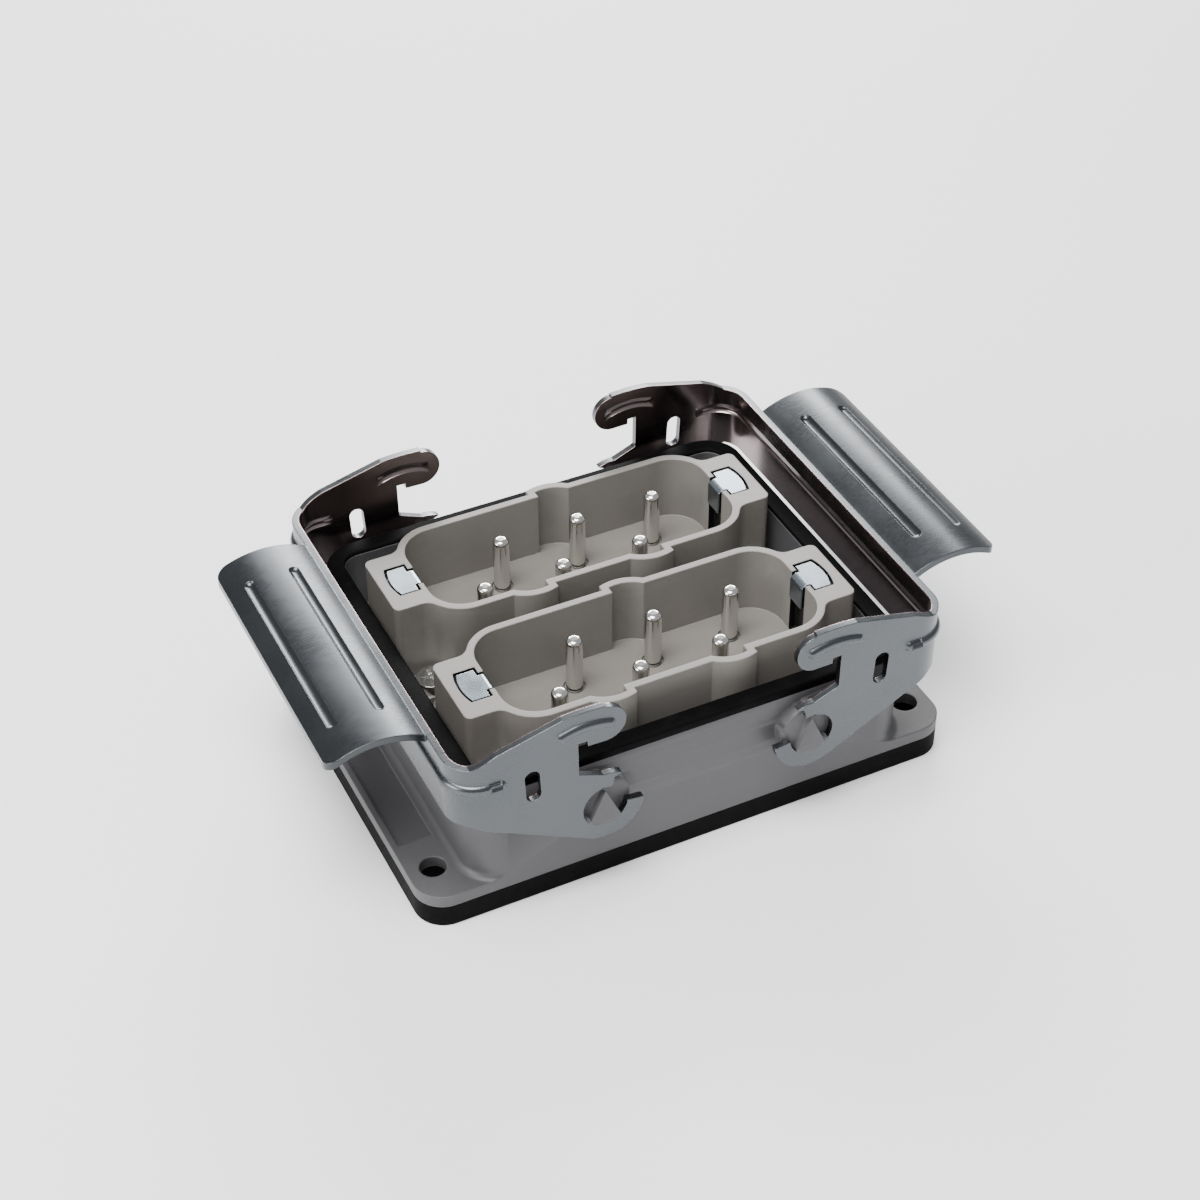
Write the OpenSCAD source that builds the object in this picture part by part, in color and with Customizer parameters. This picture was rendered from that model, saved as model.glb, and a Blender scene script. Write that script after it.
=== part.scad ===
// Heavy duty rectangular power connector, bulkhead half.
// A die-cast housing bolts onto a panel, holds two six-pole pin inserts side by side,
// and carries two sprung steel locking levers that hook over the pegs of the mating hood.
// Millimetres. X runs along the inserts, Y across them, Z up from the underside of the base gasket.

/* [Contact inserts] */
// Distance between the two inserts' centre lines
insert_pitch = 36.5; // [35.5:0.5:42]
// Length of the cavity that takes the mating insert
cavity_l = 70.6; // [68:0.2:76]
// Width of the cavity
cavity_w = 26.5; // [25:0.5:30]
// Corner radius of the cavity
cavity_r = 7.5; // [5:0.5:10]
// Depth of the cavity
cavity_depth = 15.6; // [12:0.2:20]
// Thickness of the wall round the cavity
shroud_wall = 1.6; // [1.2:0.1:2.2]
// Length of each end block beyond the cavity
block_l = 8.7; // [8:0.1:11]
// Width of the end blocks
block_w = 18; // [16:0.5:20]
// Depth of the half-round keys in the cavity walls
key_depth = 2.1; // [1:0.1:2.5]
// Radius of the keys, outside
key_r = 9.5; // [7:0.5:12]
// Distance from a key's centre to its steep side
key_step = 3.5; // [2:0.25:5]
// Distance of the two front keys from the middle
key_spread = 13.5; // [11:0.5:16]
// Thickness of the insert between the cavity floor and its fixing flange
floor_t = 3.2; // [2:0.2:5]
// Thickness of the insert's fixing flange
insert_flange_t = 3; // [2.5:0.25:5]
// Width of the insert's fixing flange
insert_flange_w = 34; // [33:0.5:35]
// Depth of the terminal block below the fixing flange
terminal_depth = 14; // [12:0.5:15]
// Width of the terminal block
terminal_w = 25; // [23:0.5:27]
// Width of the slot in each end block for the earthing clip's crossbar
clip_w = 9.4; // [8:0.2:11]
// Width of the earthing clip's stem
stem_w = 4.6; // [3:0.2:6]
// Thickness of the earthing clip's sheet
clip_t = 0.9; // [0.6:0.1:1.2]
// Gap round the earthing clip in its slot
clip_gap = 0.5; // [0.3:0.1:0.8]

/* [Contacts] */
// Radius of a contact pin
pin_r = 1.8; // [1.2:0.1:2.2]
// Height of a contact pin above the cavity floor
pin_h = 13; // [8:0.5:16]
// Radius of a contact's root where it passes through the cavity floor
pin_root_r = 1.6; // [1:0.1:1.7]
// Radius of the rounding at a pin's tip
pin_tip_r = 1.1; // [0.6:0.1:1.2]
// Distance between neighbouring pins in a row
pin_pitch = 18.2; // [15:0.2:20]
// Distance between the two rows of pins
row_pitch = 13; // [11:0.5:14]
// Shift of each row from the middle
row_shift = 4.7; // [0:0.1:5]
// Radius of a contact's terminal barrel
barrel_r = 3.1; // [2.8:0.1:3.6]
// Radius of the hole for the wire in a barrel
wire_r = 2; // [1:0.1:2.1]
// Depth of the hole for the wire
wire_depth = 9; // [6:0.5:10]
// Clearance round a contact in its insert, in radius
contact_clearance = 0.05; // [0.02:0.01:0.2]

/* [Screws] */
// Distance between the fixing screws along an insert
screw_x = 77.5; // [76:0.5:80]
// Distance between the fixing screws across an insert
screw_y = 27; // [26.5:0.25:28]
// Radius of a fixing screw's shank
screw_r = 2; // [1.5:0.1:2.2]
// Radius of a fixing screw's head
screw_head_r = 3.4; // [2.8:0.1:3.6]
// Height of a fixing screw's head
screw_head_h = 2.6; // [1.5:0.1:4]
// Radius of a terminal screw
terminal_screw_r = 1.5; // [1:0.1:1.8]
// Radius of a terminal screw's head
terminal_head_r = 2.4; // [2:0.1:2.8]

/* [Housing] */
// Thickness of the housing walls
wall = 4; // [3.5:0.1:6]
// Gap between an insert's end block and the end wall
end_gap = 1.7; // [1:0.1:4]
// Gap between an insert's keys and the long wall
side_gap = 2.5; // [2:0.1:5]
// Height of the housing from the panel gasket to the rim
housing_h = 26; // [25.5:0.5:32]
// Outer corner radius of the walls
wall_corner_r = 8; // [6:0.5:10]
// Radius of the fillet between the end walls and the flange
toe_r = 1.5; // [1:0.1:3]
// Reach of the mounting flange beyond each end wall
flange_reach = 10.8; // [10:0.1:14]
// Thickness of the mounting flange
flange_t = 2.7; // [2:0.1:5]
// Corner radius of the mounting flange
flange_r = 6.5; // [4:0.5:9]
// Distance from the flange's short edge to the mounting holes
hole_inset_x = 5.5; // [5:0.25:6]
// Distance from the flange's long edge to the mounting holes
hole_inset_y = 9.2; // [8:0.2:14]
// Radius of the mounting holes
hole_r = 2.8; // [2:0.1:3]
// Depth of the plain panel sunk into each end of the flange
panel_depth = 0.5; // [0.3:0.1:1]
// Height of the ledges that carry the inserts, from the panel gasket
ledge_h = 11.8; // [11:0.1:13]
// Thickness of the ledges
ledge_t = 4; // [3:0.5:6]

/* [Gaskets] */
// Thickness of the base gasket
base_gasket_t = 5.2; // [2:0.1:7]
// Width of the base gasket beside the housing's opening
base_gasket_w = 7; // [5:0.5:9]
// Width of the rim gasket
rim_gasket_w = 3; // [2:0.1:3.2]
// Height of the rim gasket
rim_gasket_h = 2; // [1.5:0.1:4]
// Height of the lip that holds the rim gasket from inside
lip_h = 1.2; // [0.5:0.1:1.4]

/* [Levers] */
// Thickness of the lever sheet
sheet_t = 1.5; // [1.2:0.1:1.8]
// Distance of each lever's pivot from the middle of the housing
pivot_x = 23.2; // [23:0.2:27]
// Height of the pivots above the panel gasket
pivot_h = 18.1; // [17:0.1:19]
// Radius of the pivot pegs
peg_r = 4.8; // [4:0.1:5.5]
// Distance from a peg's centre to its flat
peg_flat = 1.6; // [1:0.1:3]
// Running clearance between peg and lever, in radius
peg_clearance = 0.08; // [0.03:0.01:0.1]
// Gap between the long wall and the lever arms
arm_gap = 3; // [2:0.1:4]
// Gap between the end wall and the lever's bridge
bridge_gap = 3.4; // [3:0.1:5]
// Width of the material round the pivot
foot_w = 3.5; // [3:0.1:4]
// Inner radius of the bends between arms and bridge
bend_r = 5.5; // [4:0.5:7]
// Height of the bridge's lower edge above the pivot
bridge_low = 5.6; // [4:0.1:7]
// Height of the bridge's upper edge above the pivot
bridge_high = 20.2; // [19:0.1:22]
// Height of the arms' crown above the pivot
crown_h = 26.4; // [25.6:0.1:28]
// Distance of the crown outward from the pivot
crown_x = 4; // [2:0.5:8]
// Radius of the hook's nose
hook_r = 4.2; // [3.6:0.1:4.6]
// Height of the hook's nose above the pivot
hook_h = 21.6; // [21:0.1:22]
// Distance from the pivot outward to the back of the notch
notch_x = 5.8; // [5:0.1:7]
// Height of the notch's ceiling above the pivot
notch_high = 18.8; // [18:0.1:19.5]
// Height of the notch's floor above the pivot
notch_low = 10.4; // [9.5:0.1:11]
// Height of the stiffening beads above the sheet
bead_h = 0.8; // [0.4:0.1:1]
// Width of the stiffening beads
bead_w = 2.4; // [1.6:0.1:3]
// Radius of the grip's curve, outside
grip_r = 19.7; // [16:0.5:26]
// Reach of the grip beyond the bridge
grip_reach = 20; // [16:0.5:24]
// Width of the grip along the bridge
grip_w = 64.6; // [50:1:70]
// Corner radius of the grip's free edge
grip_corner_r = 2.5; // [1:0.5:6]
// Depth of the two grooves pressed into the grip
groove_depth = 0.6; // [0.3:0.1:0.9]
// Length of the grooves in the grip
groove_l = 46; // [30:1:60]

/* [Hidden] */
$fn = 64;

eps = 0.01;
// Levels, from the underside of the base gasket
flange_z = base_gasket_t;
rim_z = flange_z + housing_h;
seat_z = flange_z + ledge_h;
neck_z = seat_z + insert_flange_t;
floor_z = neck_z + floor_t;
insert_top = floor_z + cavity_depth;
pivot_z = flange_z + pivot_h;
terminal_z = seat_z - terminal_depth;
// Plan sizes that follow from the inserts
shroud_w = cavity_w + 2 * shroud_wall;
insert_l = cavity_l + 2 * block_l;
inner_l = insert_l + 2 * end_gap;
inner_w = insert_pitch + shroud_w + 2 * (key_depth + side_gap);
outer_l = inner_l + 2 * wall;
outer_w = inner_w + 2 * wall;
flange_l = outer_l + 2 * flange_reach;
hole_x = flange_l / 2 - hole_inset_x;
hole_y = outer_w / 2 - hole_inset_y;
inner_r = wall_corner_r - wall;
// Housing details: rims of the sunk end panels, ledges past the screws, roots and play of the pegs
panel_wall_gap = 0.3;
panel_border = 1.4;
panel_hole_gap = 5.6;
ledge_past_screw = 4;
peg_root = 0.5;
arm_play = 0.2;
flat_a = 156;
// Opening of the base gasket: set in less at the ends, with tighter corners
gasket_end_step = 1;
gasket_corner_step = 3;
// Insert details
block_r = 1.5;
neck_r = 3;
corner_x = cavity_l / 2 - cavity_r;
corner_y = cavity_w / 2 - cavity_r;
shroud_r = cavity_r + shroud_wall;
insert_flange_l = insert_l - 1;
terminal_l = screw_x - 2 * screw_head_r - 2;
clip_in = cavity_l / 2 + 1.6;
clip_out = insert_l / 2 - 3.4;
clip_bulge = 0.8;
head_gap = 0.5;
blade_l = 6;
clip_sink = 0.2;
clip_bend_r = 1.4;
clip_lap = 0.6;
key_shift = 0.5;
recess_depth = 0.6;
recess_gap = 0.6;
barrel_top = seat_z - 0.2;
terminal_axis_z = terminal_z + 5;
slot_w = 0.9;
// Lever details, measured from the pivot
foot_hole_r = peg_r + peg_clearance;
foot_r = foot_hole_r + foot_w;
arm_in = outer_w / 2 + arm_gap;
arm_out = arm_in + sheet_t;
bridge_in = outer_l / 2 + bridge_gap - pivot_x;
bridge_out = bridge_in + sheet_t;
shoulder_x = bridge_in - 2.1;
// how far the bridge's end reaches in under the crown, so that their outlines cross cleanly
crown_overlap = 1;
crown_drop = crown_h - bridge_high;
crown_run = shoulder_x - crown_x;
crown_r = (crown_run * crown_run + crown_drop * crown_drop) / (2 * crown_drop);
sill_x = bridge_in - 1.7;
sill_d = norm([sill_x, bridge_low]);
sill_a = atan2(bridge_low, sill_x) + asin(foot_r / sill_d);
bead_z = 15;
bead_start = 22;
collar_r = peg_r + 1.2;
mouth_low_a = 187;
mouth_high_a = 140;
mouth_reach = 20;
arm_slot_at = [15.4, 11.8];
arm_slot_w = 3.2;
arm_slot_l = 7.8;
arm_slot_tilt = 3;
hook_bead_at = [4.2, 22.7];
hook_bead_r = 15;
hook_bead_a = 20;
// Grip details: distance of its highest line outward from the bridge, and its two grooves
grip_rise = 9.7;
groove_at = [-4, 5.6];
groove_r = 1.5;
arm_l = foot_r + 2;

// A rectangle with round corners, centred
module plate(l, w, r) {
    square([l - 2 * r, w], center = true);
    square([l, w - 2 * r], center = true);
    for (x = [-1, 1], y = [-1, 1])
        translate([x * (l / 2 - r), y * (w / 2 - r)]) circle(r);
}

// A piece and its mirror image in X, or in Y
module both_x() { for (s = [0, 1]) mirror([s, 0, 0]) children(); }
module both_y() { for (s = [0, 1]) mirror([0, s, 0]) children(); }

module at_holes() {
    for (x = [-1, 1], y = [-1, 1]) translate([x * hole_x, y * hole_y]) children();
}

module at_pivots() { both_x() both_y() translate([pivot_x, 0, pivot_z]) children(); }

// ---- Housing ----

// Fillet between one end wall and the flange: a straight run and its two corner turns
module toe() {
    z = flange_z + flange_t;
    straight = outer_w - 2 * wall_corner_r;
    corner = outer_l / 2 - wall_corner_r;
    intersection() {
        union() {
            translate([outer_l / 2, straight / 2, z]) rotate([90, 0, 0]) linear_extrude(straight) cove();
            for (s = [0, 1]) mirror([0, s, 0])
                translate([corner, -straight / 2, z]) rotate([0, 0, -90])
                    rotate_extrude(angle = 90) translate([wall_corner_r, 0]) cove();
        }
        translate([0, -outer_w / 2, z - 1]) cube([flange_l, outer_w, toe_r + 2]);
    }
}

module cove() {
    difference() {
        translate([-0.5, -0.5]) square(toe_r + 0.5);
        translate([toe_r, toe_r]) circle(toe_r);
    }
}

// A pivot peg on the long wall at y < 0: a collar that spaces the arm, then a D-shaped journal
module peg() {
    translate([0, -outer_w / 2 + peg_root, 0]) rotate([90, 0, 0])
        cylinder(r = collar_r, h = arm_gap + peg_root - arm_play);
    translate([0, -outer_w / 2, 0]) rotate([90, 0, 0]) linear_extrude(arm_gap + sheet_t + arm_play)
        intersection() {
            circle(peg_r);
            rotate(flat_a) translate([-2 * peg_r, -2 * peg_r]) square([2 * peg_r + peg_flat, 4 * peg_r]);
        }
}

module housing() {
    color([0.45, 0.45, 0.46]) {
        difference() {
            union() {
                translate([0, 0, flange_z]) linear_extrude(flange_t) plate(flange_l, outer_w, flange_r);
                translate([0, 0, flange_z]) linear_extrude(housing_h) plate(outer_l, outer_w, wall_corner_r);
                translate([0, 0, rim_z - 1]) linear_extrude(1 + lip_h)
                    plate(outer_l - 2 * rim_gasket_w, outer_w - 2 * rim_gasket_w, wall_corner_r - rim_gasket_w);
                both_x() toe();
            }
            translate([0, 0, flange_z - 1]) linear_extrude(housing_h + lip_h + 2)
                plate(inner_l, inner_w, inner_r);
            translate([0, 0, flange_z - 1]) linear_extrude(flange_t + 2) at_holes() circle(hole_r);
            both_x() end_panel();
        }
        ledges();
        at_pivots() peg();
    }
}

// The plain panel sunk between the two mounting holes of one end
module end_panel() {
    inner = outer_l / 2 + toe_r + panel_wall_gap;
    outer = flange_l / 2 - panel_border;
    half_w = hole_y - hole_r - panel_hole_gap;
    translate([inner, -half_w, flange_z + flange_t - panel_depth]) cube([outer - inner, 2 * half_w, 1]);
}

// Two ledges across the inside of the end walls, with tapped holes for the fixing screws
module ledges() {
    reach = inner_l / 2 - (screw_x / 2 - ledge_past_screw);
    difference() {
        intersection() {
            both_x() translate([inner_l / 2 - reach, -outer_w / 2, seat_z - ledge_t])
                cube([reach + 1, outer_w, ledge_t]);
            translate([0, 0, seat_z - ledge_t - 1]) linear_extrude(ledge_t + 2)
                plate(inner_l + 1, inner_w + 1, inner_r + 0.5);
        }
        at_fixing_screws() translate([0, 0, -ledge_t - 1]) cylinder(r = screw_r, h = ledge_t + 2);
    }
}

module base_gasket() {
    color([0.05, 0.05, 0.05]) linear_extrude(base_gasket_t) difference() {
        plate(flange_l, outer_w, flange_r);
        plate(outer_l - 2 * (base_gasket_w - gasket_end_step), outer_w - 2 * base_gasket_w,
            wall_corner_r - gasket_corner_step);
        at_holes() circle(hole_r);
    }
}

module rim_gasket() {
    color([0.04, 0.04, 0.04]) translate([0, 0, rim_z]) linear_extrude(rim_gasket_h) difference() {
        plate(outer_l, outer_w, wall_corner_r);
        plate(outer_l - 2 * rim_gasket_w, outer_w - 2 * rim_gasket_w, wall_corner_r - rim_gasket_w);
    }
}

// ---- Inserts ----

// Plan of a key: a round swelling of radius r, cut steeply at step to the right of its centre
module key_plan(r, step) {
    intersection() {
        circle(r);
        translate([-r, 0]) square([r + step, r + 1]);
    }
}

// The three keys of one insert, one behind and two in front, swelling out of a wall at wall_y
module keys(grow) {
    centre_y = shroud_w / 2 + key_depth - key_r;
    rotate(180) for (x = [-key_spread, key_spread])
        translate([-x + key_shift, centre_y]) mirror([1, 0]) key_plan(key_r + grow, key_step + grow);
    translate([key_shift, centre_y]) mirror([1, 0]) key_plan(key_r + grow, key_step + grow);
}

// Fills the inner corner where the shroud meets an end block, with a concave arc
module neck_fill() {
    fill_y = block_w / 2 + neck_r;
    span = shroud_r + neck_r;
    fill_x = corner_x + sqrt(span * span - (fill_y - corner_y) * (fill_y - corner_y));
    touch = [corner_x, corner_y] + [fill_x - corner_x, fill_y - corner_y] * shroud_r / span;
    difference() {
        polygon([[corner_x, block_w / 2 - 1], [fill_x, block_w / 2 - 1], [fill_x, fill_y], touch]);
        translate([fill_x, fill_y]) circle(neck_r);
    }
}

// Discs round the fixing screws' heads, where the shroud steps back for them
module head_reliefs(past) {
    for (x = [-1, 1], y = [-1, 1])
        translate([x * screw_x / 2, y * screw_y / 2]) circle(screw_head_r + head_gap + past);
}

module shroud_plan() {
    difference() {
        union() {
            plate(cavity_l + 2 * shroud_wall, shroud_w, shroud_r);
            plate(insert_l, block_w, block_r);
            both_x() both_y() neck_fill();
            keys(0);
        }
        head_reliefs(0);
    }
}

module cavity_plan() {
    difference() {
        union() {
            plate(cavity_l, cavity_w, cavity_r);
            keys(-shroud_wall);
        }
        head_reliefs(shroud_wall);
    }
}

// Plan of the T-shaped clip at the +X end; gap widens it into its slot
module clip_plan(gap) {
    bar = clip_w / 2 - clip_gap + gap;
    bow_r = (bar * bar + clip_bulge * clip_bulge) / (2 * clip_bulge);
    translate([clip_in - gap, -bar]) square([clip_out - clip_in + 2 * gap, 2 * bar]);
    intersection() {
        translate([clip_out + gap + clip_bulge - bow_r, 0]) circle(bow_r);
        translate([clip_in, -bar]) square([2 * bow_r, 2 * bar]);
    }
    translate([cavity_l / 2 - 0.4, -stem_w / 2 - gap]) square([clip_in - cavity_l / 2 + 1, stem_w + 2 * gap]);
}

// Pin positions in one insert: the back row leans right, the front row left
function pin_at(n) = let (row = n <= 3 ? 1 : -1, k = (n - 1) % 3 - 1)
    [k * pin_pitch + row * row_shift, row * row_pitch / 2];

// The insert's centre line, on the back (s = 1) or the front (s = -1)
module at_insert(s) { translate([0, s * insert_pitch / 2, 0]) children(); }

module at_fixing_screws() {
    for (s = [-1, 1]) at_insert(s)
        for (x = [-1, 1], y = [-1, 1]) translate([x * screw_x / 2, y * screw_y / 2, seat_z]) children();
}

module insert_body() {
    clip_top_depth = clip_t + clip_sink;
    difference() {
        union() {
            translate([0, 0, neck_z - eps]) linear_extrude(insert_top - neck_z + eps) shroud_plan();
            translate([0, 0, seat_z]) linear_extrude(insert_flange_t) plate(insert_flange_l, insert_flange_w, 2);
            translate([0, 0, terminal_z]) linear_extrude(terminal_depth + 1) plate(terminal_l, terminal_w, 2);
        }
        translate([0, 0, floor_z]) linear_extrude(cavity_depth + 1) cavity_plan();
        for (x = [-1, 1], y = [-1, 1])
            translate([x * screw_x / 2, y * screw_y / 2, seat_z - 1])
                cylinder(r = screw_r + 0.2, h = insert_flange_t + 2);
        both_x() {
            translate([0, 0, insert_top - clip_top_depth]) linear_extrude(clip_top_depth + 1) clip_plan(clip_gap);
            translate([cavity_l / 2 - 1, -stem_w / 2 - clip_gap, floor_z])
                cube([clip_t + 1.7, stem_w + 2 * clip_gap, cavity_depth + 1]);
        }
        for (n = [1 : 6]) contact_bores(n);
    }
}

// Bores for one contact: the barrel from below, the pin through the floor, the screw from the side
module contact_bores(n) {
    at = pin_at(n);
    side = sign(at[1]);
    translate([at[0], at[1], terminal_z - 1])
        cylinder(r = barrel_r + contact_clearance, h = barrel_top - terminal_z + 1);
    translate([at[0], at[1], terminal_z])
        cylinder(r = pin_root_r + contact_clearance, h = floor_z - terminal_z + 1);
    translate([at[0], at[1], floor_z - recess_depth]) cylinder(r = pin_r + recess_gap, h = 2);
    translate([at[0], at[1], terminal_axis_z]) rotate([-90 * side, 0, 0])
        cylinder(r = terminal_head_r + 0.3, h = terminal_w);
}

module insert(s) { color([0.58, 0.55, 0.51]) at_insert(s) insert_body(); }

// ---- Contacts and metal parts ----

module contact(s, n) {
    at = pin_at(n);
    side = sign(at[1]);
    tip = floor_z + pin_h;
    color([0.8, 0.8, 0.78]) at_insert(s) translate([at[0], at[1], 0]) difference() {
        rotate_extrude() {
            translate([0, terminal_z]) square([barrel_r, barrel_top - terminal_z]);
            translate([0, barrel_top - 1]) square([pin_root_r, floor_z - barrel_top + 2]);
            translate([0, floor_z]) square([pin_r, tip - pin_tip_r - floor_z]);
            translate([0, tip - pin_tip_r - 1]) square([pin_r - pin_tip_r, pin_tip_r + 1]);
            translate([pin_r - pin_tip_r, tip - pin_tip_r]) intersection() {
                circle(pin_tip_r);
                square(pin_tip_r);
            }
        }
        translate([0, 0, terminal_z - 1]) cylinder(r = wire_r, h = wire_depth + 1);
        translate([0, 0, terminal_axis_z]) rotate([-90 * side, 0, 0])
            cylinder(r = terminal_screw_r + contact_clearance, h = 2 * barrel_r);
    }
}

// Earthing clip at one end (x = 1 or -1) of one insert: T-shaped plate, rounded edge, blade in its groove
module earth_clip(s, x) {
    top = insert_top - clip_sink;
    bend = clip_bend_r;
    color([0.75, 0.78, 0.82]) at_insert(s) mirror([x < 0 ? 1 : 0, 0, 0]) {
        translate([0, 0, top - clip_t]) linear_extrude(clip_t) intersection() {
            clip_plan(0);
            translate([cavity_l / 2 + bend - clip_lap, -clip_w]) square([insert_l, 2 * clip_w]);
        }
        translate([cavity_l / 2 + bend - clip_lap, stem_w / 2, top - bend]) rotate([90, 0, 0])
            rotate([0, 0, 90]) clip_bend(bend, stem_w);
        translate([cavity_l / 2 - clip_lap, -stem_w / 2, top - blade_l]) cube([clip_t, stem_w, blade_l - bend]);
    }
}

// A quarter of a tube bend: outer radius r, sheet clip_t, length l along its axis
module clip_bend(r, l) {
    linear_extrude(l) difference() {
        intersection() {
            circle(r);
            square(r);
        }
        circle(r - clip_t);
    }
}

module fixing_screws() {
    color([0.8, 0.8, 0.8]) at_fixing_screws() difference() {
        union() {
            translate([0, 0, insert_flange_t]) cylinder(r = screw_head_r, h = screw_head_h);
            translate([0, 0, -ledge_t]) cylinder(r = screw_r - 0.05, h = ledge_t + insert_flange_t + 1);
        }
        translate([0, 0, insert_flange_t + screw_head_h]) for (a = [0, 90]) rotate(a)
            cube([2 * screw_r + 0.4, slot_w, 2.4], center = true);
    }
}

module terminal_screws(s) {
    head_in = barrel_r + 0.6;
    color([0.8, 0.8, 0.8]) at_insert(s) for (n = [1 : 6]) let (at = pin_at(n), side = sign(at[1]))
        translate([at[0], at[1], terminal_axis_z]) rotate([-90 * side, 0, 0]) difference() {
            union() {
                translate([0, 0, wire_r + 0.15]) cylinder(r = terminal_screw_r, h = head_in - wire_r);
                translate([0, 0, head_in]) cylinder(r = terminal_head_r, h = 1.8);
            }
            translate([0, 0, head_in + 1.8]) cube([2 * terminal_head_r + 1, slot_w, 1.6], center = true);
        }
}

// ---- Levers ----

// Side profile of a lever in its own plane: x outward and y up, from the pivot
module lever_profile() {
    difference() {
        union() {
            circle(foot_r);
            translate([-0.2, hook_h]) circle(hook_r);
            intersection() {
                polygon([
                    [0, -foot_r * 0.2],
                    foot_r * [sin(sill_a), -cos(sill_a)],
                    [sill_x, bridge_low],
                    [bridge_out + 1, bridge_low],
                    [bridge_out + 1, bridge_high],
                    [crown_x, crown_h + 1],
                    [-0.2, crown_h + 1],
                    [-0.2, hook_h - hook_r],
                    [notch_x - 2.1, hook_h - hook_r + 0.1],
                    [notch_x - 2, notch_high],
                    [notch_x, notch_high],
                    [notch_x - 0.1, notch_low + 0.3],
                    [notch_x - 0.6, notch_low],
                    [-0.6, 8],
                    [-2, 6.6],
                    [-1, 4]
                ]);
                union() {
                    translate([crown_x, crown_h - crown_r]) circle(crown_r, $fn = 128);
                    translate([shoulder_x - crown_overlap, 0]) square([bridge_out, bridge_high]);
                }
            }
        }
        circle(foot_hole_r);
        // mouth of the foot, open towards the middle
        polygon([[0, 0], mouth_reach * [cos(mouth_low_a), sin(mouth_low_a)],
            mouth_reach * [cos(mouth_high_a), sin(mouth_high_a)], [-1.9, 6.9], [-1.9, 6.6]]);
        // slot in the arm
        translate(arm_slot_at) rotate(-arm_slot_tilt) plate(arm_slot_w, arm_slot_l, arm_slot_w / 2 - eps);
    }
}

// Plan of one face of the bent strip, from the pivot: straight arms and two round bends
module bend_plan(end_x, half_w, r) {
    translate([-arm_l, -half_w]) square([end_x - r + arm_l, 2 * half_w]);
    translate([-arm_l, -half_w + r]) square([end_x + arm_l, 2 * (half_w - r)]);
    for (s = [-1, 1]) translate([end_x - r, s * (half_w - r)]) circle(r);
}

module strip() {
    intersection() {
        translate([0, 0, -foot_r - 1]) linear_extrude(foot_r + crown_h + 2) difference() {
            bend_plan(bridge_out, arm_out, bend_r + sheet_t);
            translate([-1, 0]) bend_plan(bridge_in + 1, arm_in, bend_r);
        }
        rotate([90, 0, 0]) linear_extrude(2 * arm_out + 2, center = true) lever_profile();
    }
}

// A round-topped bead with round ends, along X at the origin, standing bead_h proud of z = 0
module bead_section() {
    r = (bead_w * bead_w / 4 + bead_h * bead_h) / (2 * bead_h);
    intersection() {
        translate([0, bead_h - r]) circle(r);
        translate([-bead_w, -0.4]) square([2 * bead_w, bead_h + 0.5]);
    }
}

// The bead that runs along the bridge and round both bends onto the arms
module bridge_bead() {
    straight = 2 * (arm_in - bend_r);
    turn = bend_r + sheet_t;
    translate([0, 0, bead_z]) {
        translate([bridge_out, straight / 2, 0]) rotate([90, 0, 0])
            linear_extrude(straight) rotate(-90) bead_section();
        for (s = [0, 1]) mirror([0, s, 0]) {
            translate([bridge_in - bend_r, arm_in - bend_r, 0])
                rotate_extrude(angle = 90) translate([turn, 0]) rotate(-90) bead_section();
            translate([bead_start, arm_out, 0]) rotate([90, 0, 90])
                linear_extrude(bridge_in - bend_r - bead_start) bead_section();
            translate([bead_start, arm_out, 0]) bead_end();
        }
    }
}

// Round end of a bead that lies on the face y = 0, on its -X side
module bead_end() {
    rotate([-90, 0, 0]) rotate([0, 0, 90]) rotate_extrude(angle = 180) intersection() {
        bead_section();
        translate([0, -1]) square(4);
    }
}

// The curved bead on each hook
module hook_bead() {
    bend = hook_bead_r;
    for (s = [0, 1]) mirror([0, s, 0]) translate([hook_bead_at[0], arm_out, hook_bead_at[1] - bend]) {
        rotate([0, -hook_bead_a, 0]) translate([0, 0, bend]) bead_end();
        rotate([0, hook_bead_a, 0]) translate([0, 0, bend]) mirror([1, 0, 0]) bead_end();
        rotate([-90, 0, 0]) rotate([0, 0, -90 - hook_bead_a]) rotate_extrude(angle = 2 * hook_bead_a)
            translate([bend, 0]) bead_section();
    }
}

// The grip: a curved sheet outward from the bridge's upper edge, with two pressed grooves
module grip() {
    centre = [bridge_out + grip_rise, bridge_high - sqrt(grip_r * grip_r - grip_rise * grip_rise)];
    translate([centre[0], 0, centre[1]]) difference() {
        intersection() {
            rotate([90, 0, 0]) linear_extrude(grip_w, center = true) difference() {
                circle(grip_r, $fn = 128);
                circle(grip_r - sheet_t, $fn = 128);
            }
            translate([-grip_rise - sheet_t, 0, 0]) linear_extrude(grip_r + 1)
                translate([0, -grip_w / 2]) grip_plan();
        }
        for (x = groove_at) rotate([0, asin(x / grip_r), 0])
            translate([0, 0, grip_r + groove_r - groove_depth]) rotate([90, 0, 0]) rotate_extrude() {
                translate([0, -groove_l / 2]) square([groove_r, groove_l]);
                for (s = [-1, 1]) translate([0, s * groove_l / 2]) intersection() {
                    circle(groove_r);
                    translate([0, -groove_r]) square([groove_r, 2 * groove_r]);
                }
            }
    }
}

// Plan of the grip, with its two free corners rounded
module grip_plan() {
    reach = grip_reach + sheet_t;
    square([reach - grip_corner_r, grip_w]);
    translate([0, grip_corner_r]) square([reach, grip_w - 2 * grip_corner_r]);
    for (y = [grip_corner_r, grip_w - grip_corner_r])
        translate([reach - grip_corner_r, y]) circle(grip_corner_r);
}

module lever() {
    translate([pivot_x, 0, pivot_z]) {
        strip();
        bridge_bead();
        hook_bead();
        grip();
    }
}

module lever_left() { color([0.62, 0.64, 0.66]) mirror([1, 0, 0]) lever(); }
module lever_right() { color([0.62, 0.64, 0.66]) lever(); }

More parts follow.
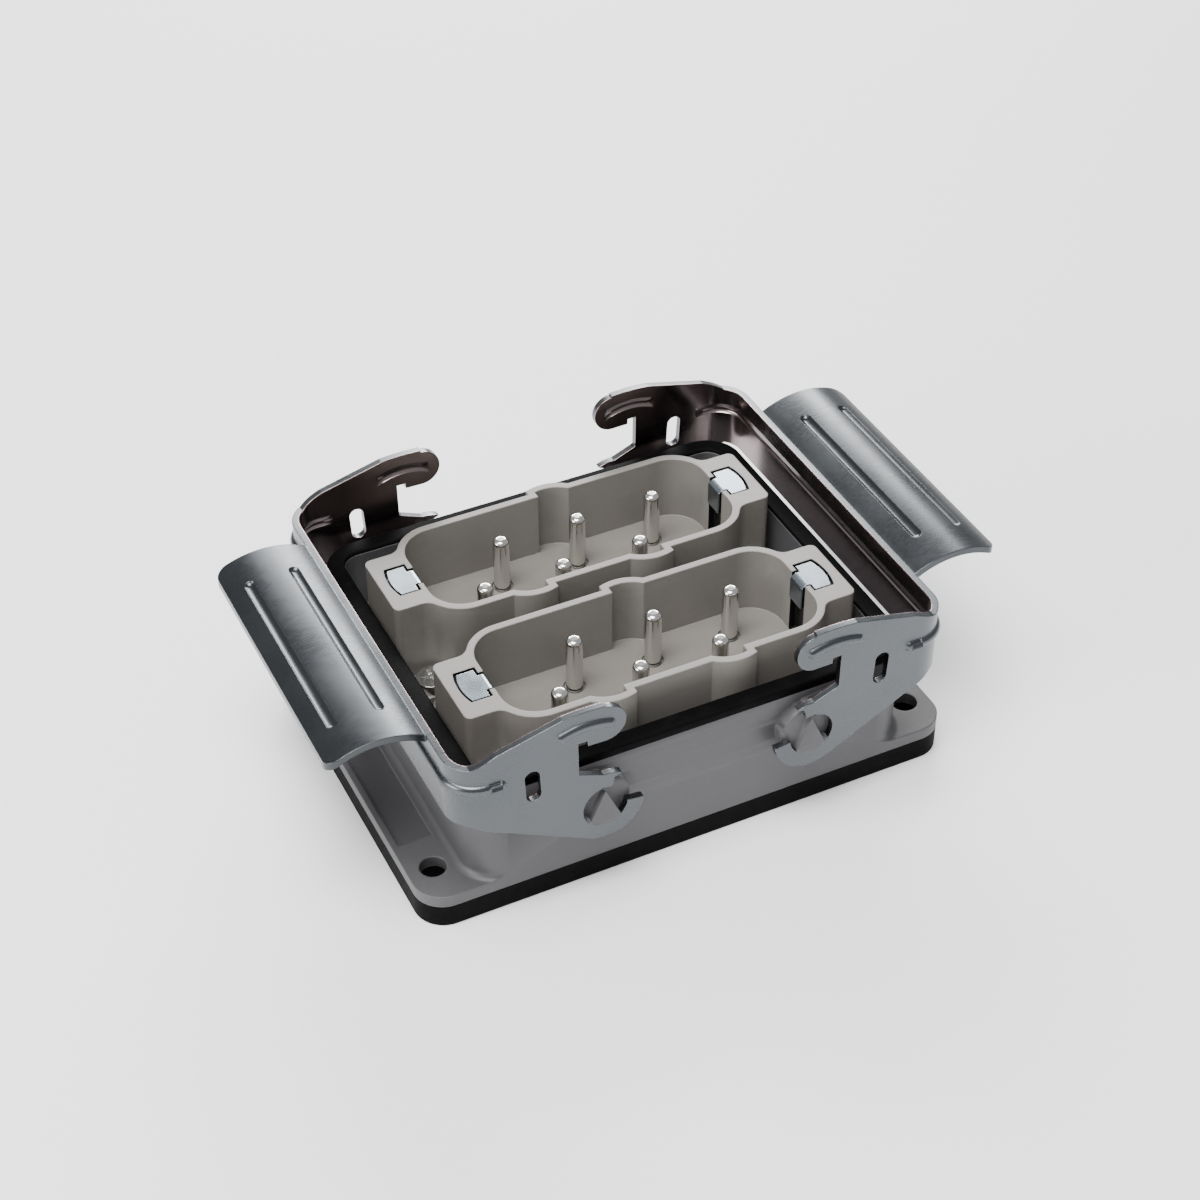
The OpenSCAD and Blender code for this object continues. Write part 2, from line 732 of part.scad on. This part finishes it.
housing();
base_gasket();
rim_gasket();
insert(1);  // insert_back
insert(-1);  // insert_front
for (n = [1 : 6]) {
    contact(1, n);
    contact(-1, n);
}
earth_clip(1, -1);  // earth_clip_back_left
earth_clip(1, 1);  // earth_clip_back_right
earth_clip(-1, -1);  // earth_clip_front_left
earth_clip(-1, 1);  // earth_clip_front_right
fixing_screws();
terminal_screws(1);  // terminal_screws_back
terminal_screws(-1);  // terminal_screws_front
lever_left();
lever_right();
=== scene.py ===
"""Looks of the bulkhead half of a heavy duty rectangular connector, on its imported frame. Metres."""
import math

import bmesh
import bpy
from mathutils import Matrix, Vector


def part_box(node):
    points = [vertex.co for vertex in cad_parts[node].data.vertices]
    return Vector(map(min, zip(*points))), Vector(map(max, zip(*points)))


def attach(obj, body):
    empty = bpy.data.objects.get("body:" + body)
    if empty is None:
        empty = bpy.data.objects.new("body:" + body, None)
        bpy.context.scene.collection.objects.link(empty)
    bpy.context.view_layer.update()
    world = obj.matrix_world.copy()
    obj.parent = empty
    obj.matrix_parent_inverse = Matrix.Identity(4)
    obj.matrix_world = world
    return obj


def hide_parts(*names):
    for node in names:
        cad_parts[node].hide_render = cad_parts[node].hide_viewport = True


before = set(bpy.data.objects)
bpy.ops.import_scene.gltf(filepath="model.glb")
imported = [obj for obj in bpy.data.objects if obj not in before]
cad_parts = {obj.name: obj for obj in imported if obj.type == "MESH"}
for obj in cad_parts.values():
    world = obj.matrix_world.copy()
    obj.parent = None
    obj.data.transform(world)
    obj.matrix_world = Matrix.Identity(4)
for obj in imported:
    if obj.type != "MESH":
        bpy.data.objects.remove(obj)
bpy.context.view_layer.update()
MM = 0.001


# ---- Node helpers ----

class Graph:
    """A material's node tree with short calls to add nodes and link them."""

    def __init__(self, name):
        self.material = bpy.data.materials.new(name)
        self.material.use_nodes = True
        self.tree = self.material.node_tree
        self.tree.nodes.clear()
        self.output = self.tree.nodes.new("ShaderNodeOutputMaterial")

    def node(self, kind, inputs=None, **settings):
        n = self.tree.nodes.new("ShaderNode" + kind)
        for key, value in settings.items():
            setattr(n, key, value)
        for key, value in (inputs or {}).items():
            self.put(n.inputs[key], value)
        return n

    def put(self, socket, value):
        if isinstance(value, bpy.types.NodeSocket):
            self.tree.links.new(value, socket)
        else:
            socket.default_value = value

    def place(self, scale=(1, 1, 1)):
        """Object coordinates, stretched by scale."""
        coords = self.node("TexCoord").outputs["Object"]
        return self.node("Mapping", {"Vector": coords, "Scale": scale}).outputs["Vector"]

    def noise(self, scale, detail=2.0, roughness=0.5, vector=None, distortion=0.0):
        n = self.node("TexNoise", {"Scale": scale, "Detail": detail, "Roughness": roughness,
                                   "Distortion": distortion, "Vector": vector or self.place()})
        return n.outputs["Fac"]

    def ramp(self, value, low, high, to_low=0.0, to_high=1.0):
        n = self.node("MapRange", {"Value": value, "From Min": low, "From Max": high,
                                   "To Min": to_low, "To Max": to_high})
        return n.outputs["Result"]

    def mix(self, factor, a, b, blend="MIX"):
        n = self.node("Mix", data_type="RGBA", blend_type=blend)
        self.put(n.inputs[0], factor)
        self.put(n.inputs[6], a)
        self.put(n.inputs[7], b)
        return n.outputs[2]

    def math(self, operation, a, b=0.0):
        n = self.node("Math", operation=operation)
        self.put(n.inputs[0], a)
        self.put(n.inputs[1], b)
        return n.outputs[0]

    def bump(self, height, distance, strength=1.0, normal=None):
        inputs = {"Height": height, "Distance": distance, "Strength": strength}
        if normal:
            inputs["Normal"] = normal
        return self.node("Bump", inputs).outputs["Normal"]

    def worn_edge(self, radius, low=0.02, high=0.25):
        """Near 1 on convex edges: where a bevelled normal turns away from the true one."""
        bevel = self.node("Bevel", {"Radius": radius}, samples=6).outputs["Normal"]
        true = self.node("NewGeometry").outputs["Normal"]
        dot = self.node("VectorMath", {0: bevel, 1: true}, operation="DOT_PRODUCT").outputs["Value"]
        return self.ramp(self.math("SUBTRACT", 1.0, dot), low, high)

    def soft_edges(self, radius):
        """The normal with edges rounded off."""
        return self.node("Bevel", {"Radius": radius}, samples=6).outputs["Normal"]

    def coordinates(self):
        split = self.node("SeparateXYZ", {"Vector": self.node("TexCoord").outputs["Object"]})
        return split.outputs["X"], split.outputs["Y"], split.outputs["Z"]

    def surface(self, **inputs):
        names = {key.replace("_", " "): value for key, value in inputs.items()}
        shader = self.node("BsdfPrincipled", names)
        self.tree.links.new(shader.outputs["BSDF"], self.output.inputs["Surface"])
        return self.material


def grey(value, tint=(1, 1, 1)):
    return (value * tint[0], value * tint[1], value * tint[2], 1)


# ---- Materials ----

def powder_coat():
    """Grey powder coat on the die-casting: orange peel, faint mottling, soft pale edges."""
    g = Graph("powder_coat")
    peel = g.noise(1400, 3, 0.55)
    mottle = g.noise(55, 4, 0.6)
    speck = g.ramp(g.noise(4200, 1), 0.6, 0.72)
    colour = g.mix(mottle, grey(0.058, (1, 0.975, 1.03)), grey(0.074, (1, 0.975, 1.04)))
    colour = g.mix(g.math("MULTIPLY", speck, 0.3), colour, grey(0.12))
    colour = g.mix(g.math("MULTIPLY", g.worn_edge(0.4 * MM), 0.4), colour, grey(0.2))
    rough = g.ramp(mottle, 0.3, 0.7, 0.42, 0.52)
    normal = g.bump(peel, 0.05 * MM, 0.4, g.soft_edges(0.5 * MM))
    return g.surface(Base_Color=colour, Roughness=rough, Normal=normal, Specular_IOR_Level=0.5)


def gasket_rubber():
    """Matt black elastomer with a fine moulded grain and a little dust."""
    g = Graph("gasket_rubber")
    grain = g.noise(2600, 2, 0.6)
    dust = g.ramp(g.noise(220, 5, 0.65), 0.5, 0.8)
    colour = g.mix(dust, grey(0.0015), grey(0.004))
    rough = g.ramp(grain, 0.3, 0.7, 0.55, 0.7)
    normal = g.bump(grain, 0.03 * MM, 0.4, g.soft_edges(0.4 * MM))
    return g.surface(Base_Color=colour, Roughness=rough, Normal=normal, Specular_IOR_Level=0.05)


def insert_plastic():
    """Beige-grey glass-filled plastic: short flow streaks, fine grain, painted shade near black in the clip
    slots.
    """
    g = Graph("insert_plastic")
    streak = g.noise(320, 3, 0.6, g.place((0.35, 1, 1)), 0.6)
    grain = g.noise(3400, 2, 0.5)
    cloud = g.noise(45, 3, 0.5)
    warm = (1.0, 0.935, 0.845)
    colour = g.mix(cloud, grey(0.155, warm), grey(0.195, warm))
    colour = g.mix(g.math("MULTIPLY", g.ramp(streak, 0.55, 0.75), 0.2), colour, grey(0.25, warm))
    colour = g.mix(g.math("MULTIPLY", g.worn_edge(0.35 * MM), 0.5), colour, grey(0.4, (1, 0.95, 0.88)))
    # painted shade: the floor and walls of the clip slots are coloured near black, as deep slots fall into
    # shadow
    colour = g.mix(clip_slot_shade_mask(g), colour, grey(0.004))
    rough = g.ramp(streak, 0.3, 0.7, 0.36, 0.46)
    normal = g.bump(grain, 0.02 * MM, 0.35, g.soft_edges(0.4 * MM))
    return g.surface(Base_Color=colour, Roughness=rough, Normal=normal, Specular_IOR_Level=0.45)


# Slots of the earthing clips, measured from the clip's box, where shade is painted near black
SLOT_MARGIN, SLOT_INNER, SLOT_ABOVE, SLOT_DEPTH = 0.75 * MM, 1.3 * MM, 0.14 * MM, 1.2 * MM
BLADE_HALF, BLADE_FROM, BLADE_TO = 2.85 * MM, 0.62 * MM, 3.1 * MM


def clip_slot_shade_mask(g):
    """1 on the floor and walls of the slots that hold the earthing clips, where shade is painted near
    black.
    """
    clip_low, clip_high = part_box("earth_clip_back_right")
    centre = (clip_low.y + clip_high.y) / 2
    x, y, z = g.coordinates()
    across = g.math("ABSOLUTE", g.math("SUBTRACT", g.math("ABSOLUTE", y), centre))
    inside = g.math("LESS_THAN", across, (clip_high.y - clip_low.y) / 2 + SLOT_MARGIN)
    along = g.math("ABSOLUTE", x)
    for test, edge, level in (("GREATER_THAN", along, clip_low.x + SLOT_INNER),
                              ("LESS_THAN", along, clip_high.x + SLOT_MARGIN),
                              ("LESS_THAN", z, clip_high.z + SLOT_ABOVE),
                              ("GREATER_THAN", z, clip_high.z - SLOT_DEPTH)):
        inside = g.math("MULTIPLY", inside, g.math(test, edge, level))
    # the upright groove of the clip's blade, in the cavity's wall, also given painted shade
    blade = g.math("LESS_THAN", across, BLADE_HALF)
    for test, edge, level in (("GREATER_THAN", along, clip_low.x + BLADE_FROM),
                              ("LESS_THAN", along, clip_low.x + BLADE_TO),
                              ("LESS_THAN", z, clip_high.z + SLOT_ABOVE)):
        blade = g.math("MULTIPLY", blade, g.math(test, edge, level))
    return g.math("MAXIMUM", inside, blade)


# Path of the levers' beads, as seen from inside, in the frame at rest
BEND_X, BEND_Y, BEND_R = 47.6 * MM, 39.2 * MM, 5.5 * MM
BEAD_Z, BEAD_FROM, BEAD_HALF = 38.3 * MM, 45.2 * MM, 1.2 * MM
HOOK_X, HOOK_Z, HOOK_R, HOOK_HALF = 27.4 * MM, 31.0 * MM, 15.0 * MM, 5.6 * MM
# Painted shade: the grips are coloured a little darker than the arms, standing in for their dimmer
# reflection
GRIP_FROM, GRIP_FADE, GRIP_SHADE_TONE = 54 * MM, 1.5 * MM, 0.66


def lever_inside(g, x, y):
    """1 on the levers' inner faces, 0 on the outer faces and grips: where the warm reflection is painted
    and the grooves are pressed.
    """
    dx = g.math("MAXIMUM", g.math("SUBTRACT", g.math("ABSOLUTE", x), BEND_X), 0.0)
    dy = g.math("MAXIMUM", g.math("SUBTRACT", g.math("ABSOLUTE", y), BEND_Y), 0.0)
    reach = g.math("SQRT", g.math("ADD", g.math("MULTIPLY", dx, dx), g.math("MULTIPLY", dy, dy)))
    return g.ramp(reach, BEND_R + 0.15 * MM, BEND_R + 0.4 * MM, 1.0, 0.0)


def groove(g, offset, along):
    """Round-bottomed groove: 1 at its middle, 0 past its half width, faded in by along."""
    share = g.math("DIVIDE", offset, BEAD_HALF)
    hollow = g.math("MAXIMUM", g.math("SUBTRACT", 1.0, g.math("MULTIPLY", share, share)), 0.0)
    return g.math("MULTIPLY", hollow, along)


def pressed_grooves(g, x, z):
    """The hollows behind the bead of the bridge and behind the beads of the hooks."""
    ax = g.math("ABSOLUTE", x)
    bridge = groove(g, g.math("SUBTRACT", z, BEAD_Z), g.ramp(ax, BEAD_FROM - 1 * MM, BEAD_FROM + 1 * MM))
    hx, hz = g.math("SUBTRACT", ax, HOOK_X), g.math("SUBTRACT", z, HOOK_Z)
    ring = g.math("SQRT", g.math("ADD", g.math("MULTIPLY", hx, hx), g.math("MULTIPLY", hz, hz)))
    ends = g.ramp(g.math("ABSOLUTE", hx), HOOK_HALF - 1 * MM, HOOK_HALF + 0.6 * MM, 1.0, 0.0)
    above = g.math("GREATER_THAN", hz, 0.0)
    hook = groove(g, g.math("SUBTRACT", ring, HOOK_R), g.math("MULTIPLY", ends, above))
    return g.math("MAXIMUM", bridge, hook)


def lever_sheet():
    """Stainless sheet: fine drawn lines, a tumbled sheen, hollows behind the beads, a painted warm
    reflection on the inner faces and painted shade on the grips.
    """
    g = Graph("lever_sheet")
    x, y, z = g.coordinates()
    inside = lever_inside(g, x, y)
    lines = g.noise(2200, 2, 0.4, g.place((0.12, 1, 1)))
    tumble = g.noise(70, 3, 0.5)
    colour = g.mix(tumble, grey(0.095, (0.93, 1, 1.06)), grey(0.125, (0.94, 1, 1.06)))
    worn = g.math("MULTIPLY", g.worn_edge(0.25 * MM, 0.06, 0.3), 0.45)
    colour = g.mix(worn, colour, grey(0.3, (0.97, 1, 1.03)))
    # painted shade: past GRIP_FROM the sheet's colour is multiplied down to darken the grips
    grip_shade = g.ramp(g.math("ABSOLUTE", x), GRIP_FROM, GRIP_FROM + GRIP_FADE)
    colour = g.mix(grip_shade, colour, g.mix(1.0, colour, grey(GRIP_SHADE_TONE), "MULTIPLY"))
    # painted reflection: the inner faces are coloured lighter and warm, standing in for the beige insert
    # and casting mirrored in them
    colour = g.mix(inside, colour, g.mix(tumble, grey(0.2, (1, 0.78, 0.78)), grey(0.3, (1, 0.82, 0.81))))
    rough = g.math("ADD", g.ramp(lines, 0.3, 0.7, 0.24, 0.29), g.ramp(tumble, 0.35, 0.7, 0.0, 0.06))
    rough = g.math("SUBTRACT", rough, g.math("MULTIPLY", inside, 0.08))
    hollow = g.math("MULTIPLY", pressed_grooves(g, x, z), inside)
    normal = g.bump(lines, 0.0015 * MM, 0.3, g.soft_edges(0.3 * MM))
    normal = g.bump(g.math("SUBTRACT", 1.0, hollow), 0.8 * MM, 1.0, normal)
    return g.surface(Base_Color=colour, Metallic=1.0, Roughness=rough, Normal=normal)


def plated(name, colour, roughness, line_scale):
    """Bright plating with fine marks, used on the contacts, the clips and the screws."""
    g = Graph(name)
    marks = g.noise(line_scale, 3, 0.5, g.place((1, 1, 0.15)))
    cloud = g.noise(350, 3, 0.6)
    dark = tuple(c * 0.88 for c in colour)
    base = g.mix(cloud, (*dark, 1), (*colour, 1))
    rough = g.ramp(marks, 0.3, 0.7, roughness, roughness + 0.06)
    normal = g.bump(marks, 0.002 * MM, 0.3, g.soft_edges(0.2 * MM))
    return g.surface(Base_Color=base, Metallic=1.0, Roughness=rough, Normal=normal)


def floor_paint():
    """Plain pale floor with only a trace of unevenness."""
    g = Graph("floor_paint")
    tone = g.noise(6, 3)
    return g.surface(Base_Color=g.mix(tone, grey(0.92), grey(0.94)), Roughness=0.7)


MATERIALS = {
    "cast": powder_coat(), "rubber": gasket_rubber(), "plastic": insert_plastic(), "sheet": lever_sheet(),
    "silver": plated("silver_plate", (0.66, 0.65, 0.62), 0.12, 1500),
    "clip": plated("clip_plate", (0.3, 0.34, 0.37), 0.2, 300),
    "zinc": plated("zinc_plate", (0.7, 0.7, 0.68), 0.22, 700),
}
KINDS = {"housing": "cast", "base_gasket": "rubber", "rim_gasket": "rubber", "insert_": "plastic",
         "contact_": "silver", "earth_clip_": "clip", "fixing_screws": "zinc",
         "terminal_screws": "zinc", "lever_": "sheet"}


def dress_cad():
    """Gives each CAD node the material of its kind."""
    for name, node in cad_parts.items():
        kind = next(k for prefix, k in KINDS.items() if name.startswith(prefix))
        for slot in node.material_slots:
            slot.material = MATERIALS[kind]


# ---- Pieces that take a CAD node's place ----

PIVOT_X, PIVOT_Z = 23.2 * MM, 23.3 * MM
PEG_FLAT, PEG_TILT, COLLAR_Y = 1.6 * MM, 24.0, 44.55 * MM


def add_object(name, mesh, material):
    thing = bpy.data.objects.new(name, mesh)
    bpy.context.collection.objects.link(thing)
    thing.data.materials.clear()
    thing.data.materials.append(material)
    return thing


def peg_cutter():
    """Blocks that cut each peg's second flat, the mirror image of its first, beyond the collar."""
    bm = bmesh.new()
    block = 8 * MM
    for x in (-1, 1):
        for y in (-1, 1):
            # the first flat faces the foot's mouth, towards the middle; this one faces away
            lean = math.radians(PEG_TILT)
            normal = Vector((x * math.cos(lean), 0, math.sin(lean)))
            centre = Vector((x * PIVOT_X, y * (COLLAR_Y + block / 2), PIVOT_Z))
            centre += normal * (PEG_FLAT + block / 2)
            turn = Matrix.Rotation(-x * lean, 4, "Y")
            place = Matrix.Translation(centre) @ turn
            bmesh.ops.create_cube(bm, size=block, matrix=place)
    mesh = bpy.data.meshes.new("peg_cutter")
    bm.to_mesh(mesh)
    bm.free()
    return mesh


def housing_with_wedge_pegs():
    """The casting again, its pegs cut to an upright wedge between two flats."""
    bm = bmesh.new()
    bm.from_mesh(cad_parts["housing"].data)
    bmesh.ops.remove_doubles(bm, verts=bm.verts, dist=0.002 * MM)
    mesh = bpy.data.meshes.new("housing_wedge_pegs")
    bm.to_mesh(mesh)
    bm.free()
    thing = add_object("housing_wedge_pegs", mesh, MATERIALS["cast"])
    cutter = bpy.data.objects.new("peg_cutter", peg_cutter())
    bpy.context.collection.objects.link(cutter)
    cut = thing.modifiers.new("flats", "BOOLEAN")
    cut.operation, cut.solver, cut.object = "DIFFERENCE", "EXACT", cutter
    bpy.context.view_layer.update()
    depsgraph = bpy.context.evaluated_depsgraph_get()
    done = bpy.data.meshes.new_from_object(thing.evaluated_get(depsgraph))
    thing.modifiers.clear()
    thing.data = done
    bpy.data.objects.remove(cutter)
    done.materials.clear()
    done.materials.append(MATERIALS["cast"])
    done.polygons.foreach_set("material_index", [0] * len(done.polygons))
    sharp_normals(thing)
    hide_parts("housing")
    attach(thing, "housing")


def sharp_normals(thing):
    """Smooth shading that keeps flat faces flat: edges split by angle, normals weighted by area."""
    thing.data.shade_smooth()
    thing.data.set_sharp_from_angle(angle=math.radians(25))
    weigh = thing.modifiers.new("weighted", "WEIGHTED_NORMAL")
    weigh.keep_sharp, weigh.weight = True, 100


def ring_path(half_x, half_y, radius, steps=14):
    """Points of a rectangle with round corners, counter-clockwise."""
    points = []
    for sx, sy, start in ((1, -1, -90), (1, 1, 0), (-1, 1, 90), (-1, -1, 180)):
        for k in range(steps + 1):
            a = math.radians(start + 90 * k / steps)
            points.append((sx * (half_x - radius) + radius * math.cos(a),
                           sy * (half_y - radius) + radius * math.sin(a)))
    return points


# Section of the rim seal: its foot inside the lip lies FOOT_IN from the outside
SEAL_WIDTH, SEAL_ROUND, SEAL_CORNER = 3.95 * MM, 0.7 * MM, 8 * MM
SEAL_DROP, FOOT_IN, FOOT_DROP = 0.4 * MM, 2.0 * MM, 0.1 * MM


def rim_seal():
    """The rim gasket as a soft crowned band that also hugs the casting's inner lip."""
    low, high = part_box("rim_gasket")
    width, round_r, corner = SEAL_WIDTH, SEAL_ROUND, SEAL_CORNER
    top, bottom = high.z, low.z
    # section from the outer foot over the crown to the inner foot: inset from the outside, height
    arc = [math.radians(a) for a in (0, 18, 36, 54, 72, 90)]
    section = [(0, bottom)]
    section += [(round_r * (1 - math.cos(a)), top - round_r * (1 - math.sin(a))) for a in arc]
    section += [(width - round_r * (1 - math.cos(a)), top - round_r * (1 - math.sin(a)))
                for a in reversed(arc)]
    section += [(width, bottom - SEAL_DROP), (FOOT_IN, bottom - FOOT_DROP)]
    bm = bmesh.new()
    rings = [[bm.verts.new((x, y, z)) for x, y in ring_path(high.x - inset, high.y - inset, corner - inset)]
             for inset, z in section]
    count = len(rings[0])
    for ring, following in zip(rings, rings[1:] + rings[:1]):
        for k in range(count):
            m = (k + 1) % count
            bm.faces.new((ring[k], ring[m], following[m], following[k]))
    bmesh.ops.recalc_face_normals(bm, faces=bm.faces)
    mesh = bpy.data.meshes.new("rim_seal")
    bm.to_mesh(mesh)
    bm.free()
    mesh.shade_smooth()
    mesh.set_sharp_from_angle(angle=math.radians(40))
    seal = add_object("rim_seal", mesh, MATERIALS["rubber"])
    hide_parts("rim_gasket")
    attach(seal, "housing")


# ---- Stage ----

FLOOR_HALF, FLOOR_DROP = 2.2, 0.0002


def add_floor():
    half = FLOOR_HALF
    mesh = bpy.data.meshes.new("floor")
    corners = [(-half, -half, 0), (half, -half, 0), (half, half, 0), (-half, half, 0)]
    mesh.from_pydata(corners, [], [(0, 1, 2, 3)])
    floor = bpy.data.objects.new("floor", mesh)
    bpy.context.collection.objects.link(floor)
    floor.location.z = -FLOOR_DROP
    floor.data.materials.append(floor_paint())


def aim(thing, at, target):
    """Puts a light at a point and turns it to face its target."""
    thing.location = at
    thing.rotation_euler = (Vector(target) - Vector(at)).to_track_quat("-Z", "Y").to_euler()


def add_area(name, at, size, watts, target=(0, 0, 0.02), colour=(1, 1, 1)):
    data = bpy.data.lights.new(name, "AREA")
    data.shape = "RECTANGLE"
    data.size, data.size_y = size
    data.energy = watts
    data.color = colour
    lamp = bpy.data.objects.new(name, data)
    bpy.context.collection.objects.link(lamp)
    aim(lamp, at, target)


def add_lights():
    add_area("key", (-0.25, -0.15, 0.95), (0.6, 0.6), 18)
    add_area("back_strip", (0.35, 0.85, 0.5), (0.7, 0.3), 14)
    add_area("left_fill", (-0.9, -0.1, 0.35), (0.5, 0.4), 6)
    world = bpy.data.worlds.new("studio")
    world.use_nodes = True
    world.node_tree.nodes["Background"].inputs["Color"].default_value = (0.93, 0.96, 1, 1)
    world.node_tree.nodes["Background"].inputs["Strength"].default_value = 0.55
    bpy.context.scene.world = world


def add_camera():
    """Looks down onto the object from the front left, with a trace of roll."""
    azimuth, elevation, roll = math.radians(-25.84), math.radians(39.85), math.radians(-0.33)
    target, distance = Vector((7.68, 19.70, 15)) * MM, 520.67 * MM
    back = Vector((math.sin(azimuth) * math.cos(elevation), -math.cos(azimuth) * math.cos(elevation),
                   math.sin(elevation)))
    right = Vector((math.cos(azimuth), math.sin(azimuth), 0))
    up = back.cross(right)
    right, up = (math.cos(roll) * right + math.sin(roll) * up,
                 math.cos(roll) * up - math.sin(roll) * right)
    data = bpy.data.cameras.new("camera")
    data.lens, data.sensor_width = 70.33, 36
    camera = bpy.data.objects.new("camera", data)
    bpy.context.collection.objects.link(camera)
    turn = Matrix((right, up, back)).transposed().to_4x4()
    camera.matrix_world = Matrix.Translation(target + back * distance) @ turn
    bpy.context.scene.camera = camera


dress_cad()
housing_with_wedge_pegs()
rim_seal()
add_floor()
add_lights()
add_camera()
